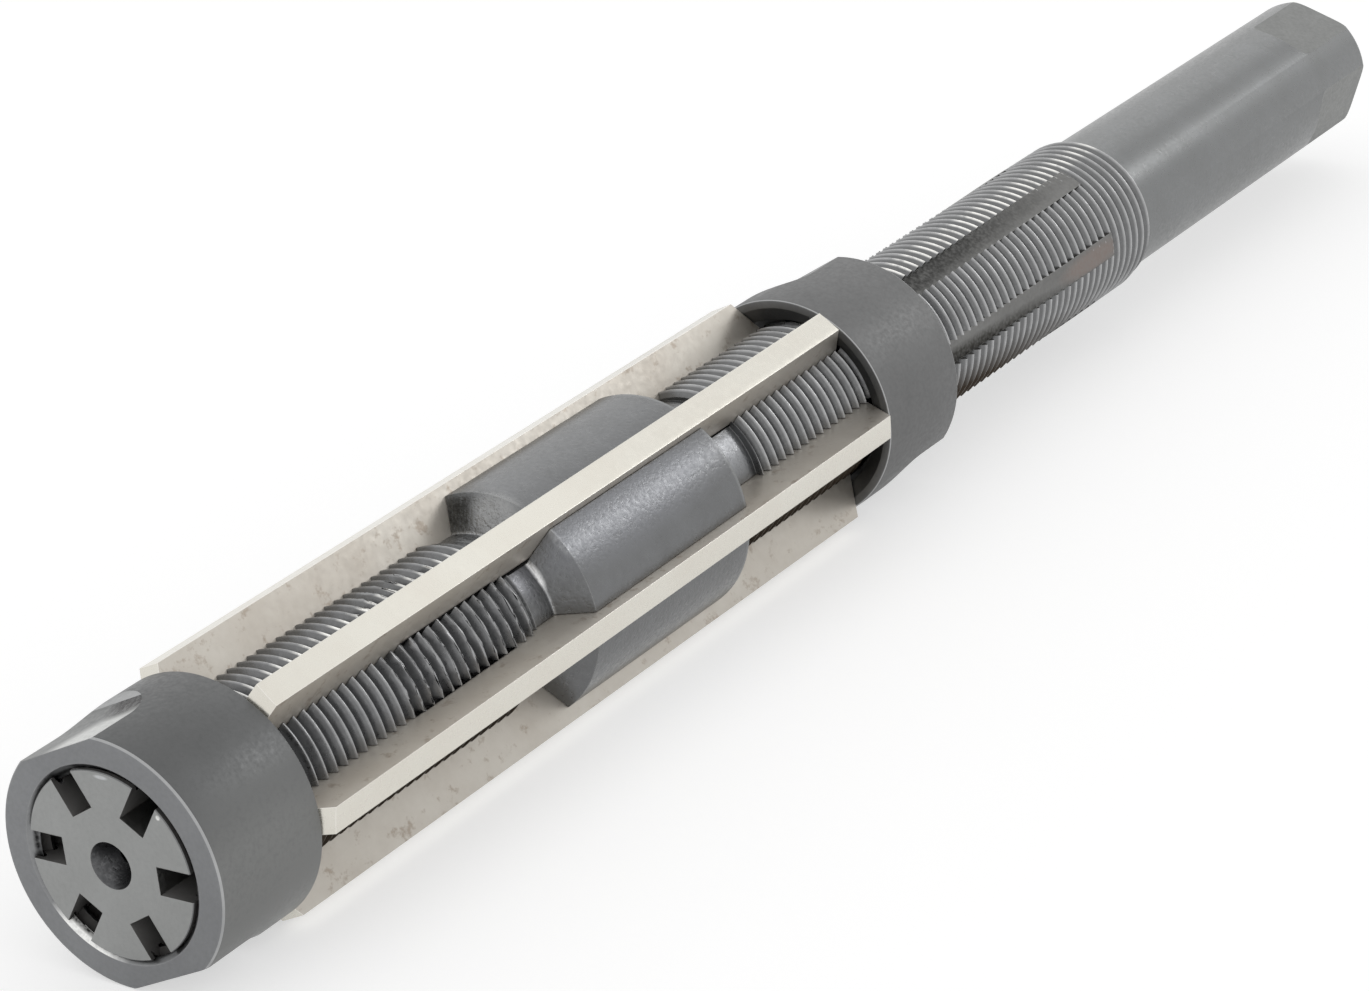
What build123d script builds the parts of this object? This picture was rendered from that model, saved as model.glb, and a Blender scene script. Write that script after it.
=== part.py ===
from build123d import *
import math
import os

# Adjustable hand reamer: a slotted threaded body, six sliding blades and two ring nuts.
# Millimetres and degrees. The origin is the centre of the tip face, X runs along the axis towards
# the shank, and +Z is up. Angles round the axis are counted from +Y towards +Z.
# The reamer lies on its two nuts, with two blades on either side of the lowest line.

# Body, turned from one bar: threads, necks and bulge, from the tip to the shank
thread_radius = 8.0
front_thread_length = 44.3
neck_radius = 7.3
front_neck_length = 3.5
cone_length = 2.2
bulge_radius = 10.3
bulge_length = 23.1
rear_neck_length = 5.0
rear_thread_length = 72.5
tip_edge_chamfer = 0.1
bulge_edge_chamfer = 0.15

# Shank and its square drive end
shank_radius = 7.3
shank_length = 51.2
shank_end_chamfer = 0.7
square_across_flats = 12.9
square_length = 9.5
square_run_out_radius = 2.5
square_turn = 19.8

# Centre holes that the body was turned between
centre_hole_mouth_radius = 2.0
centre_hole_cone_angle = 60.0
centre_pilot_radius = 0.8
centre_pilot_depth = 5.5

# Blades, in slots whose floors rise towards the shank. The slots are a little askew, like a left-hand
# helix, and their pitch is uneven against chatter: three unlike steps, taken twice round.
blade_thickness = 2.3
blade_land_length = 81.7
land_radius = 11.54
land_edge_chamfer = 0.2
first_blade_direction = -1.37
blade_pitch_angles = (59.883, 62.083, 58.034)
slot_floor_radius_at_tip = 4.6
slot_rise_angle = 1.36
slot_skew_angle = 0.36
slot_side_clearance = 0.03
slot_floor_clearance = 0.02

# Ring nuts: a conical seat for the blade ends on one side and two wrench flats on the other
nut_radius = 10.7
nut_length = 12.1
nut_setback = 0.1
nut_edge_chamfer = 0.2
nut_bore_clearance = 0.06
nut_bore_chamfer = 0.35
seat_rim_radius = 9.9
seat_angle = 30.0
seat_gap = 0.1
counterbore_radius = 8.6
counterbore_depth = 2.5
nut_across_flats = 19.5
nut_flat_length = 4.4
nut_run_out_radius = 10.0
front_nut_turn = 64.8
rear_nut_turn = 58.3

# How far a cutter runs past the surface that it cuts
overrun = 1.0

# Stations along the axis, worked out from the lengths
front_neck_start = front_thread_length
cone_start = front_neck_start + front_neck_length
bulge_start = cone_start + cone_length
bulge_end = bulge_start + bulge_length
rear_thread_start = bulge_end + rear_neck_length
rear_thread_end = rear_thread_start + rear_thread_length
body_length = rear_thread_end + shank_length

# The blade ends and the seats slope alike, and the land starts where that slope reaches its radius
seat_slope = math.tan(math.radians(seat_angle))
seat_gap_along_axis = seat_gap / math.cos(math.radians(seat_angle))
front_seat_face = nut_setback + nut_length
land_setback = (land_radius - seat_rim_radius) * seat_slope + seat_gap_along_axis
land_start = front_seat_face + land_setback
land_end = land_start + blade_land_length
rear_seat_face = land_end + land_setback

# A slot crosses its own radial plane halfway along the blade's land
land_middle = (land_start + land_end) / 2
blade_directions = [first_blade_direction]
for step in (blade_pitch_angles * 2)[:-1]:
    blade_directions.append(blade_directions[-1] + step)


def slot_floor_radius(x):
    """Radius of the slot floors at the station x."""
    return slot_floor_radius_at_tip + x * math.tan(math.radians(slot_rise_angle))


def turned(points):
    """A solid of revolution about X from a closed outline of (x, radius) points."""
    outline = make_face(Polyline(*points, close=True))
    return revolve(outline, axis=Axis.X)


def bar_along_slot(points, width):
    """A bar with a closed outline of (x, radius) points as its side view, askew like the slots."""
    outline = make_face(Polyline(*points, close=True))
    bar = extrude(Plane.XY.offset(-width / 2) * outline, width)
    return Pos(land_middle, 0, 0) * Rot(Y=slot_skew_angle) * Pos(-land_middle, 0, 0) * bar


def milled_flat(start, end, height, run_out_radius):
    """What a side mill removes above a flat that faces +Y, with a round run-out before start."""
    reach = run_out_radius + nut_radius
    straight = Pos(start, height, 0) * Box(
        end - start, reach, 2 * reach, align=(Align.MIN, Align.MIN, Align.CENTER)
    )
    run_out = Pos(start, height + run_out_radius, 0) * Cylinder(run_out_radius, 2 * reach)
    return straight + run_out


def centre_hole():
    """A centre drill's hole, its mouth at the origin and its pilot towards +X."""
    cone_depth = (centre_hole_mouth_radius - centre_pilot_radius) / math.tan(
        math.radians(centre_hole_cone_angle / 2)
    )
    return turned([
        (0, 0),
        (0, centre_hole_mouth_radius),
        (cone_depth, centre_pilot_radius),
        (centre_pilot_depth, centre_pilot_radius),
        (centre_pilot_depth, 0),
    ])


def blank():
    """The turned body before its slots, square and centre holes are cut."""
    tip_edge = thread_radius - tip_edge_chamfer
    bulge_edge = bulge_radius - bulge_edge_chamfer
    return turned([
        (0, 0),
        (0, tip_edge),
        (tip_edge_chamfer, thread_radius),
        (front_neck_start, thread_radius),
        (front_neck_start, neck_radius),
        (cone_start, neck_radius),
        (bulge_start, bulge_radius),
        (bulge_end - bulge_edge_chamfer, bulge_radius),
        (bulge_end, bulge_edge),
        (bulge_end, neck_radius),
        (rear_thread_start, neck_radius),
        (rear_thread_start, thread_radius),
        (rear_thread_end, thread_radius),
        (rear_thread_end, shank_radius),
        (body_length - shank_end_chamfer, shank_radius),
        (body_length, shank_radius - shank_end_chamfer),
        (body_length, 0),
    ])


def slot():
    """What one slot removes: a long wedge that runs out where its floor meets the rear thread."""
    top = bulge_radius + overrun
    rise = math.tan(math.radians(slot_rise_angle))
    far_end = (top - slot_floor_radius_at_tip) / rise
    outline = [(-overrun, slot_floor_radius(-overrun)), (far_end, top), (-overrun, top)]
    return bar_along_slot(outline, blade_thickness + 2 * slot_side_clearance)


def reamer_body():
    """The body: the blank with its six slots, the square drive end and the centre holes."""
    body = blank()
    for direction in blade_directions:
        body -= Rot(X=direction) * slot()
    square_start = body_length - square_length
    flat = milled_flat(square_start, body_length + overrun, square_across_flats / 2, square_run_out_radius)
    for k in range(4):
        body -= Rot(X=square_turn + 90 * k) * flat
    body -= centre_hole()
    body -= Pos(body_length, 0, 0) * Rot(Z=180) * centre_hole()
    return body


def ring_nut():
    """A nut with its flats at X = 0 and its seat at X = nut_length, the flats facing +Y and -Y."""
    bore_radius = thread_radius + nut_bore_clearance
    seat_depth = (seat_rim_radius - counterbore_radius) * seat_slope
    nut = turned([
        (0, bore_radius + nut_bore_chamfer),
        (0, nut_radius - nut_edge_chamfer),
        (nut_edge_chamfer, nut_radius),
        (nut_length - nut_edge_chamfer, nut_radius),
        (nut_length, nut_radius - nut_edge_chamfer),
        (nut_length, seat_rim_radius),
        (nut_length - seat_depth, counterbore_radius),
        (nut_length - counterbore_depth, counterbore_radius),
        (nut_length - counterbore_depth, bore_radius),
        (nut_bore_chamfer, bore_radius),
    ])
    # The side mill comes in from the flat end, so its run-out is on the seat's side
    flat = Rot(Y=180) * milled_flat(-nut_flat_length, overrun, nut_across_flats / 2, nut_run_out_radius)
    return nut - flat - Rot(X=180) * flat


def blade():
    """One blade in the slot that faces +Y: a bar ground to the land radius and to both seats."""
    front_toe = land_start - land_radius * seat_slope
    rear_toe = land_end + land_radius * seat_slope
    floor_gap = slot_floor_clearance / math.cos(math.radians(slot_rise_angle))
    top = land_radius + overrun
    bar = bar_along_slot(
        [
            (front_toe, slot_floor_radius(front_toe) + floor_gap),
            (rear_toe, slot_floor_radius(rear_toe) + floor_gap),
            (rear_toe, top),
            (front_toe, top),
        ],
        blade_thickness,
    )
    ground = turned([(front_toe, 0), (land_start, land_radius), (land_end, land_radius), (rear_toe, 0)])
    shaped = bar & ground
    long_edges = shaped.edges().filter_by(lambda edge: edge.length > blade_land_length / 2)
    return chamfer(long_edges.sort_by(Axis.Y)[-2:], land_edge_chamfer)


parts = {"body": reamer_body()}
parts["front_nut"] = Pos(nut_setback, 0, 0) * Rot(X=front_nut_turn) * ring_nut()
# The rear nut is the same nut turned end for end
parts["rear_nut"] = Pos(rear_seat_face + nut_length, 0, 0) * Rot(X=rear_nut_turn) * Rot(Z=180) * ring_nut()
for k, direction in enumerate(blade_directions):
    parts[f"blade_{k + 1}"] = Rot(X=direction) * blade()

os.makedirs("parts", exist_ok=True)
for name, solid in parts.items():
    export_step(solid, f"parts/{name}.step")
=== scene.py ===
# %% [markdown]
# # An adjustable hand reamer
# This tool finishes a hole to size. Six steel blades sit in slots of a threaded body, and the floors of the
# slots rise towards the shank. A nut at each end holds the blades. Turning both nuts moves the blades along
# the rising floors, and the tool grows by a few tenths of a millimetre at a time. The solid model comes
# first, because it has the true sizes. Every piece below is built around it.

# %% Load the solid model
import math

import bpy
from mathutils import Matrix, Vector


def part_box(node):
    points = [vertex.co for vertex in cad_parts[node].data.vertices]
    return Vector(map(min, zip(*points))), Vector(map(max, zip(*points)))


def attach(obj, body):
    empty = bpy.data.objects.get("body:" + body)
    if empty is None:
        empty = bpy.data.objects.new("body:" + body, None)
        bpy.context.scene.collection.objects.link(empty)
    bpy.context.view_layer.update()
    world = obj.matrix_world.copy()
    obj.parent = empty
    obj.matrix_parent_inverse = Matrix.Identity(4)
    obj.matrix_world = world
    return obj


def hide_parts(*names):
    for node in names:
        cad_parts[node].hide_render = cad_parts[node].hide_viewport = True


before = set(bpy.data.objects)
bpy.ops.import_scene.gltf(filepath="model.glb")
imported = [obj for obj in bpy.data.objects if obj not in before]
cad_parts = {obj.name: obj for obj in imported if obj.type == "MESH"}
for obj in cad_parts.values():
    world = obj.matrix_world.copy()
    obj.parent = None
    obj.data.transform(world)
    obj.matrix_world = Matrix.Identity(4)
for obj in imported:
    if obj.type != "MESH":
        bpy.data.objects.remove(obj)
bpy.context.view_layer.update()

# %% [markdown]
# ## Sizes
# The sizes of the turned body are written once, in metres, from the tip at x = 0 along the axis. The
# stations of the blades and nuts are read from the solid model, so the pieces stay where the solids are.

# %% Sizes of the turned body
MM = 0.001
MICRON = 0.001 * MM
AXIS_POINT = (0.0, 0.0, 0.0)
AXIS = (1.0, 0.0, 0.0)
FULL_TURN = 2 * math.pi

THREAD_RADIUS = 8.0 * MM
THREAD_PITCH = 1.25 * MM
THREAD_DEPTH = 0.75 * MM
THREAD_CREST = 0.17 * MM
THREAD_ROOT = 0.29 * MM
FRONT_THREAD_END = 44.3 * MM
CONE_START = 48.3 * MM
BULGE_START = 50.0 * MM
BULGE_END = 73.1 * MM
REAR_THREAD_START = 79.3 * MM
REAR_THREAD_END = 150.6 * MM
NECK_RADIUS = 7.3 * MM
BULGE_RADIUS = 10.3 * MM
SHANK_RADIUS = 7.3 * MM
SHANK_ROUNDING = 0.7 * MM
BODY_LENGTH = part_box("body")[1].x
print("body length", round(BODY_LENGTH, 4))

# %% Sizes of the slots, blades and nuts
BLADE_THICKNESS = 2.3 * MM
LAND_RADIUS = 11.54 * MM
LAND_RELIEF = math.radians(7)
FIRST_BLADE = math.radians(-1.37)
BLADE_STEPS = [math.radians(step) for step in (59.883, 62.083, 58.034, 59.883, 62.083)]
SLOT_FLOOR_AT_TIP = 4.6 * MM
SLOT_RISE = math.tan(math.radians(1.36))
SLOT_SKEW = math.radians(0.36)
SLOT_CLEARANCE = 0.05 * MM
SEAT_ANGLE = math.radians(30)
SEAT_SLOPE = math.tan(SEAT_ANGLE)
SEAT_GAP = 0.1 * MM
SEAT_RIM_RADIUS = 9.9 * MM
COUNTERBORE_RADIUS = 8.6 * MM
COUNTERBORE_DEPTH = 2.5 * MM
NUT_RADIUS = 10.7 * MM
NUT_FLATS = 19.5 * MM
NUT_FLAT_LENGTH = 4.4 * MM
NUT_RUN_OUT = 10.0 * MM
FRONT_NUT = [corner.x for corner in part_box("front_nut")]
REAR_NUT = [corner.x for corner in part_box("rear_nut")]
LAND_SETBACK = (LAND_RADIUS - SEAT_RIM_RADIUS) * SEAT_SLOPE + SEAT_GAP / math.cos(SEAT_ANGLE)
LAND_START = FRONT_NUT[1] + LAND_SETBACK
LAND_END = REAR_NUT[0] - LAND_SETBACK
LAND_MIDDLE = ((LAND_START + LAND_END) / 2, 0.0, 0.0)
print("lands from", round(LAND_START, 5), "to", round(LAND_END, 5))

# %% [markdown]
# ## The camera
# The camera comes before the pieces, so that every test render is judged from the same place. It looks down
# at the tip from the front left, with a long lens and a slight roll, and the tool points away to the right.

# %% Camera
CAMERA_PLACE = Vector((-213.13, -208.16, 152.73)) * MM
CAMERA_DIRECTION = Vector((0.7474, 0.5341, -0.3952))
CAMERA_UP = Vector((0.3718, 0.1568, 0.9149))
CAMERA_LENS = 115.67


def make_camera():
    """A camera at the given place, turned so that its own up follows CAMERA_UP."""
    data = bpy.data.cameras.new("camera")
    data.lens = CAMERA_LENS
    data.clip_start = 10 * MM
    data.clip_end = 10.0
    camera = bpy.data.objects.new("camera", data)
    bpy.context.scene.collection.objects.link(camera)
    back = -CAMERA_DIRECTION.normalized()
    right = CAMERA_UP.cross(back).normalized()
    up = back.cross(right)
    rows = [[right[i], up[i], back[i], CAMERA_PLACE[i]] for i in range(3)]
    camera.matrix_world = Matrix(rows + [[0, 0, 0, 1]])
    return camera


bpy.context.scene.camera = make_camera()
print("camera at", [round(place, 4) for place in CAMERA_PLACE])

# %% [markdown]
# ## Steel, as nodes
# All steel here is one idea: a metal shader whose colour, roughness and fine bumps come from noise. The
# noise reads Object coordinates, which are in metres and stay with the piece. A coordinate that is
# stretched along the axis gives marks along it, and one that is squeezed gives rings, as a lathe leaves
# them. The Bevel node rounds each sharp edge for the light alone, because no real edge is perfectly sharp.

# %% Node helpers
def new_steel(name, colour, roughness):
    """A metal material, with its shader's plain values on the shader's own sockets."""
    material = bpy.data.materials.new(name)
    material.use_nodes = True
    shader = material.node_tree.nodes["Principled BSDF"]
    shader.inputs["Base Color"].default_value = (*colour, 1.0)
    shader.inputs["Metallic"].default_value = 1.0
    shader.inputs["Roughness"].default_value = roughness
    return material


def add_node(material, kind, values=None, **settings):
    """Adds a node, with its settings and the values of its unlinked sockets."""
    node = material.node_tree.nodes.new(kind)
    for key, value in settings.items():
        setattr(node, key, value)
    for key, value in (values or {}).items():
        node.inputs[key].default_value = value
    return node


def link(material, start, end):
    """Joins an output socket to an input socket."""
    material.node_tree.links.new(start, end)


def set_plain(material, name, value):
    """Sets one of the shader's inputs to the same value all over the surface."""
    material.node_tree.nodes["Principled BSDF"].inputs[name].default_value = value


def set_input(material, name, socket):
    """Feeds one of the shader's inputs from a socket."""
    link(material, socket, material.node_tree.nodes["Principled BSDF"].inputs[name])


# %% Helpers for patterns
def noise(material, stretch, scale, detail=4.0, roughness=0.6):
    """Noise on Object coordinates that are first multiplied by stretch. Gives the noise's value socket."""
    place = add_node(material, "ShaderNodeTexCoord")
    mapping = add_node(material, "ShaderNodeMapping", {"Scale": stretch})
    pattern = add_node(material, "ShaderNodeTexNoise", {
        "Scale": scale, "Detail": detail, "Roughness": roughness,
    })
    link(material, place.outputs["Object"], mapping.inputs["Vector"])
    link(material, mapping.outputs["Vector"], pattern.inputs["Vector"])
    return pattern.outputs["Fac"]


def map_range(material, source, from_range, to_range):
    """Maps a value from one range to another, and clamps it there."""
    node = add_node(material, "ShaderNodeMapRange", {
        "From Min": from_range[0], "From Max": from_range[1], "To Min": to_range[0], "To Max": to_range[1],
    })
    link(material, source, node.inputs["Value"])
    return node.outputs["Result"]


def mix_colours(material, factor, low, high):
    """Mixes two colours by a factor. Each is a colour or a socket."""
    node = add_node(material, "ShaderNodeMix", data_type="RGBA")
    link(material, factor, node.inputs["Factor"])
    for key, colour in (("A", low), ("B", high)):
        socket = next(s for s in node.inputs if s.name == key and s.type == "RGBA")
        if isinstance(colour, tuple):
            socket.default_value = (*colour, 1.0)
        else:
            link(material, colour, socket)
    return next(s for s in node.outputs if s.type == "RGBA")


def multiply(material, first, second):
    """The product of two sockets, or of a socket and a number."""
    node = add_node(material, "ShaderNodeMath", operation="MULTIPLY")
    link(material, first, node.inputs[0])
    if isinstance(second, float):
        node.inputs[1].default_value = second
    else:
        link(material, second, node.inputs[1])
    return node.outputs["Value"]


# %% Helpers for stained places, edges and bumps
BEVEL_SAMPLES = 6


def around(x, radius, degrees):
    """A point of the reamer by its station, its distance from the axis and its angle from +Y to +Z."""
    angle = math.radians(degrees)
    return (x * MM, radius * MM * math.cos(angle), radius * MM * math.sin(angle))


def patch(material, centre, radii):
    """1 in the middle of an ellipsoid, falling to 0 at its surface. The radii are in millimetres."""
    place = add_node(material, "ShaderNodeTexCoord")
    mapping = add_node(material, "ShaderNodeMapping", {
        "Location": [-c / (r * MM) for c, r in zip(centre, radii)],
        "Scale": [1 / (r * MM) for r in radii],
    })
    distance = add_node(material, "ShaderNodeVectorMath", operation="LENGTH")
    link(material, place.outputs["Object"], mapping.inputs["Vector"])
    link(material, mapping.outputs["Vector"], distance.inputs[0])
    return map_range(material, distance.outputs["Value"], (0.5, 1.0), (1.0, 0.0))


def edges(material, radius):
    """1 along sharp edges, where a rounded normal leaves the true one, and 0 elsewhere."""
    rounded = add_node(material, "ShaderNodeBevel", {"Radius": radius}, samples=BEVEL_SAMPLES)
    true = add_node(material, "ShaderNodeNewGeometry")
    match = add_node(material, "ShaderNodeVectorMath", operation="DOT_PRODUCT")
    link(material, rounded.outputs["Normal"], match.inputs[0])
    link(material, true.outputs["Normal"], match.inputs[1])
    return map_range(material, match.outputs["Value"], (0.99, 0.85), (0.0, 1.0))


def add_bump(material, layers, edge_radius):
    """Chains bumps, each a (height socket, height in metres), over a rounded edge."""
    edge = add_node(material, "ShaderNodeBevel", {"Radius": edge_radius}, samples=BEVEL_SAMPLES)
    normal = edge.outputs["Normal"]
    for height, depth in layers:
        bump = add_node(material, "ShaderNodeBump", {"Distance": depth})
        link(material, height, bump.inputs["Height"])
        link(material, normal, bump.inputs["Normal"])
        normal = bump.outputs["Normal"]
    set_input(material, "Normal", normal)


# %% [markdown]
# ### Blackened steel
# The body and the nuts are turned steel with a dark oxide finish. Up close the grey is cloudy, the lathe's
# rings still show, and light breaks up on tiny grains. Handling has rubbed the sharp edges brighter. The
# same function makes each of its shades. A painted picture could hold the stains too, but it would need an
# unwrapped mesh, so each stain is an ellipsoid in space instead, which colours whatever surface runs
# through it. Some of these stains are painted highlights and painted shade, as the comment on each says.

# %% Blackened steel
EVEN = (1.0, 1.0, 1.0)
RINGS = (1.0, 0.02, 0.02)
BRIGHT_EDGE = (0.42, 0.42, 0.41)
RUBBED_WIDTH = 0.15 * MM
EDGE_ROUNDING = 0.12 * MM
GOUGE_DEPTH = 250 * MICRON


def blackened_steel(
    name, dark, light, roughness, ring_depth, grain_depth, edge_wear=0.5, stains_and_painted_light=(), gouges=()
):
    """Dark steel between two shades, with cloudy patches, lathe rings, fine grain and rubbed edges.

    Each stain is a centre, its radii and a colour, and some stains are painted highlights and shade. Each
    gouged place is a centre and its radii.
    """
    material = new_steel(name, light, roughness)
    clouds = noise(material, EVEN, 160.0, 7.0, 0.75)
    grain = noise(material, EVEN, 2600.0, 2.0)
    rings = noise(material, RINGS, 5200.0, 2.0)
    shade = map_range(material, clouds, (0.3, 0.7), (0.0, 1.0))
    cloudy = mix_colours(material, shade, dark, light)
    for centre, radii, colour in stains_and_painted_light:
        ragged = map_range(material, grain, (0.3, 0.6), (0.6, 1.0))
        spread = multiply(material, patch(material, centre, radii), ragged)
        cloudy = mix_colours(material, spread, cloudy, colour)
    wear = map_range(material, clouds, (0.35, 0.6), (0.2, edge_wear))
    rubbed = multiply(material, edges(material, RUBBED_WIDTH), wear)
    dullness = map_range(material, grain, (0.3, 0.7), (roughness - 0.07, roughness + 0.07))
    set_input(material, "Base Color", mix_colours(material, rubbed, cloudy, BRIGHT_EDGE))
    set_input(material, "Roughness", dullness)
    layers = [(rings, ring_depth), (grain, grain_depth)]
    for centre, radii in gouges:
        chips = noise(material, EVEN, 1100.0, 4.0, 0.7)
        layers.append((multiply(material, chips, patch(material, centre, radii)), GOUGE_DEPTH))
    add_bump(material, layers, EDGE_ROUNDING)
    return material


# %% Steel of the body
turned_steel = blackened_steel(
    "turned_steel", (0.150, 0.152, 0.153), (0.180, 0.183, 0.187), 0.32, 3 * MICRON, 30 * MICRON,
    stains_and_painted_light=[
        # Painted highlights: the bright corner at the foot of the cone, and its brightest stretch
        (around(48.25, 0.0, 0), (0.22, 11.5, 11.5), (0.55, 0.56, 0.57)),
        (around(48.25, 7.35, 139), (0.32, 2.0, 2.0), (0.90, 0.90, 0.90)),
        # Painted highlights on the edges of the bulge, at its start and at its end
        (around(50.0, 10.3, 134), (0.32, 2.0, 2.0), (0.60, 0.61, 0.62)),
        (around(72.85, 0.0, 0), (0.35, 16.0, 16.0), (0.26, 0.265, 0.265)),
        # Painted highlights on the rear and the front neck
        (around(77.0, 7.3, 138), (4.5, 3.4, 3.4), (0.28, 0.285, 0.295)),
        (around(46.6, 7.3, 134), (1.9, 3.0, 3.0), (0.200, 0.202, 0.214)),
        # The inside of the centre hole is painted darker
        (around(2.0, 0.0, 0), (8.0, 4.4, 4.4), (0.095, 0.096, 0.099)),
        # Dark and bright places on the gouged side of the cone
        (around(49.1, 8.9, 74), (1.6, 2.3, 2.3), (0.045, 0.045, 0.043)),
        (around(49.3, 9.0, 98), (1.8, 2.9, 2.9), (0.310, 0.312, 0.312)),
        # A painted highlight along the side of the bulge, broken up by the grain
        (around(59.0, 10.3, 137), (18.0, 4.0, 4.0), (0.195, 0.199, 0.210)),
    ],
    gouges=[(around(49.0, 9.0, 84), (2.6, 5.5, 5.5))],
)
shank_steel = blackened_steel(
    "shank_steel", (0.184, 0.188, 0.187), (0.211, 0.216, 0.219), 0.33, 2 * MICRON, 8 * MICRON
)
faced_steel = blackened_steel(
    "faced_steel", (0.300, 0.305, 0.300), (0.335, 0.340, 0.336), 0.46, 2 * MICRON, 3 * MICRON, 0.3,
    stains_and_painted_light=[
        # Two bright nicks near the rim of the tip
        (around(0.0, 7.60, 136), (0.25, 0.25, 0.25), (0.85, 0.85, 0.83)),
        (around(0.0, 7.55, 92), (0.25, 0.8, 0.2), (0.55, 0.56, 0.57)),
    ],
)
milled_steel = blackened_steel(
    "milled_steel", (0.165, 0.164, 0.160), (0.215, 0.214, 0.208), 0.50, 0.0, 10 * MICRON, 0.2,
    stains_and_painted_light=[
        # Painted shade along one side of the third slot, and in the fourth a rusty end and painted shade
        # along one side
        (around(104.0, 7.1, 112), (44.0, 2.5, 2.5), (0.050, 0.050, 0.048)),
        (around(139.0, 7.9, 176), (7.0, 1.4, 1.4), (0.240, 0.205, 0.188)),
        (around(106.0, 7.2, 184), (34.0, 1.5, 1.5), (0.045, 0.043, 0.038)),
    ],
)
flat_steel = blackened_steel(
    "flat_steel", (0.200, 0.204, 0.200), (0.245, 0.249, 0.243), 0.46, 0.0, 6 * MICRON, 0.3
)
print("steels of the body ready")

# %% Steel of the nuts
nut_steel = blackened_steel(
    "nut_steel", (0.116, 0.118, 0.118), (0.134, 0.136, 0.137), 0.44, MICRON, 2 * MICRON,
    # Painted light: one side of the front nut is paler
    stains_and_painted_light=[(around(6.0, 10.7, 196), (22.0, 10.5, 10.5), (0.205, 0.208, 0.204))],
)
# Painted light: the rear nut is the front nut's steel made paler, for the brighter light near the shank
rear_nut_lit_steel = blackened_steel(
    "rear_nut_lit_steel", (0.162, 0.163, 0.163), (0.182, 0.183, 0.183), 0.50, MICRON, 2 * MICRON
)
nut_face = blackened_steel(
    "nut_face", (0.220, 0.224, 0.230), (0.245, 0.250, 0.256), 0.46, 2 * MICRON, 2 * MICRON, 0.7
)
# Painted highlight: the outer half of each nut's rounded rim takes this paler steel
rim_highlight_steel = blackened_steel(
    "rim_highlight_steel", (0.340, 0.344, 0.346), (0.440, 0.444, 0.446), 0.40, 0.0, 2 * MICRON
)
bore_steel = blackened_steel(
    "bore_steel", (0.240, 0.244, 0.248), (0.270, 0.274, 0.278), 0.42, 0.0, 2 * MICRON, 0.2,
    stains_and_painted_light=[
        # A painted highlight on one stretch of the mouth, and painted shade round its bottom
        (around(0.4, 8.1, 298), (6.0, 4.4, 3.4), (0.92, 0.92, 0.90)),
        (around(0.62, 0.0, 0), (0.26, 16.0, 16.0), (0.020, 0.020, 0.020)),
    ],
)
RUN_OUT_GASH = (around(7.4, 10.3, 78), (2.9, 3.2, 3.2))
nut_flat_steel = blackened_steel(
    "nut_flat_steel", (0.180, 0.183, 0.182), (0.230, 0.234, 0.232), 0.44, 0.0, 6 * MICRON, 0.6,
    stains_and_painted_light=[
        # The flat is rubbed bright where a spanner grips, and dark and torn where it runs out
        (around(1.0, 10.2, 80), (6.5, 4.4, 4.4), (0.640, 0.645, 0.630)),
        (*RUN_OUT_GASH, (0.060, 0.058, 0.058)),
    ],
    gouges=[RUN_OUT_GASH],
)
print("steels of the nuts ready")

# %% [markdown]
# ### Oil, dirt and painted shade
# The walls of the slots are seen at a glancing angle, where even black metal shines. In the real slots, oil
# and dirt keep them dull. So their material isn't metal, and its specular level is turned down. Its near
# black colour is partly that oil and dirt and partly painted shade for the narrow slots and gaps, and it
# is painted paler near the tip, where the slots lie open. The same dark material lies round the collar of
# the tip, as painted shade in the gap before the nut, and in the threads of the nuts.

# %% Oil, dirt and painted shade
slot_wall_steel = new_steel("slot_wall_steel", (0.050, 0.049, 0.048), 0.75)
set_plain(slot_wall_steel, "Metallic", 0.0)
set_plain(slot_wall_steel, "Specular IOR Level", 0.12)
dirt = map_range(slot_wall_steel, noise(slot_wall_steel, EVEN, 700.0, 4.0), (0.3, 0.7), (0.0, 1.0))
oil_and_shade_colour = mix_colours(slot_wall_steel, dirt, (0.034, 0.033, 0.032), (0.078, 0.076, 0.073))
# The painted shade is paler near the tip, where the slots lie open
near_tip = patch(slot_wall_steel, AXIS_POINT, (30.0, 8.2, 8.2))
oil_and_shade_colour = mix_colours(slot_wall_steel, near_tip, oil_and_shade_colour, (0.210, 0.206, 0.200))
set_input(slot_wall_steel, "Base Color", oil_and_shade_colour)
add_bump(slot_wall_steel, [(dirt, 20 * MICRON)], 0.05 * MM)
print("slot walls ready")

# %% [markdown]
# ### Thread steel
# A thread's crests are rubbed bright by the nuts, and its flanks and roots keep the dark oxide. So the
# shade follows the distance from the axis, which is the length of the coordinate's y and z. Along one line
# the crests are painted near white, partly for metal rubbed bare and partly as a painted highlight. Between
# the fourth and the fifth blade, the thread is painted dark brown.

# %% Thread steel
BARE_AND_HIGHLIGHT_HEIGHT = (THREAD_RADIUS - 0.16 * MM, THREAD_RADIUS - 0.04 * MM)
CREST_TOP = 0.02 * MM
# Near white for the crests along one line: partly bare metal, partly a painted highlight
BARE_AND_HIGHLIGHT = (0.95, 0.94, 0.90)
# The colour of the thread's dark brown places
DARK_BROWN = (0.050, 0.040, 0.031)


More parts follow.
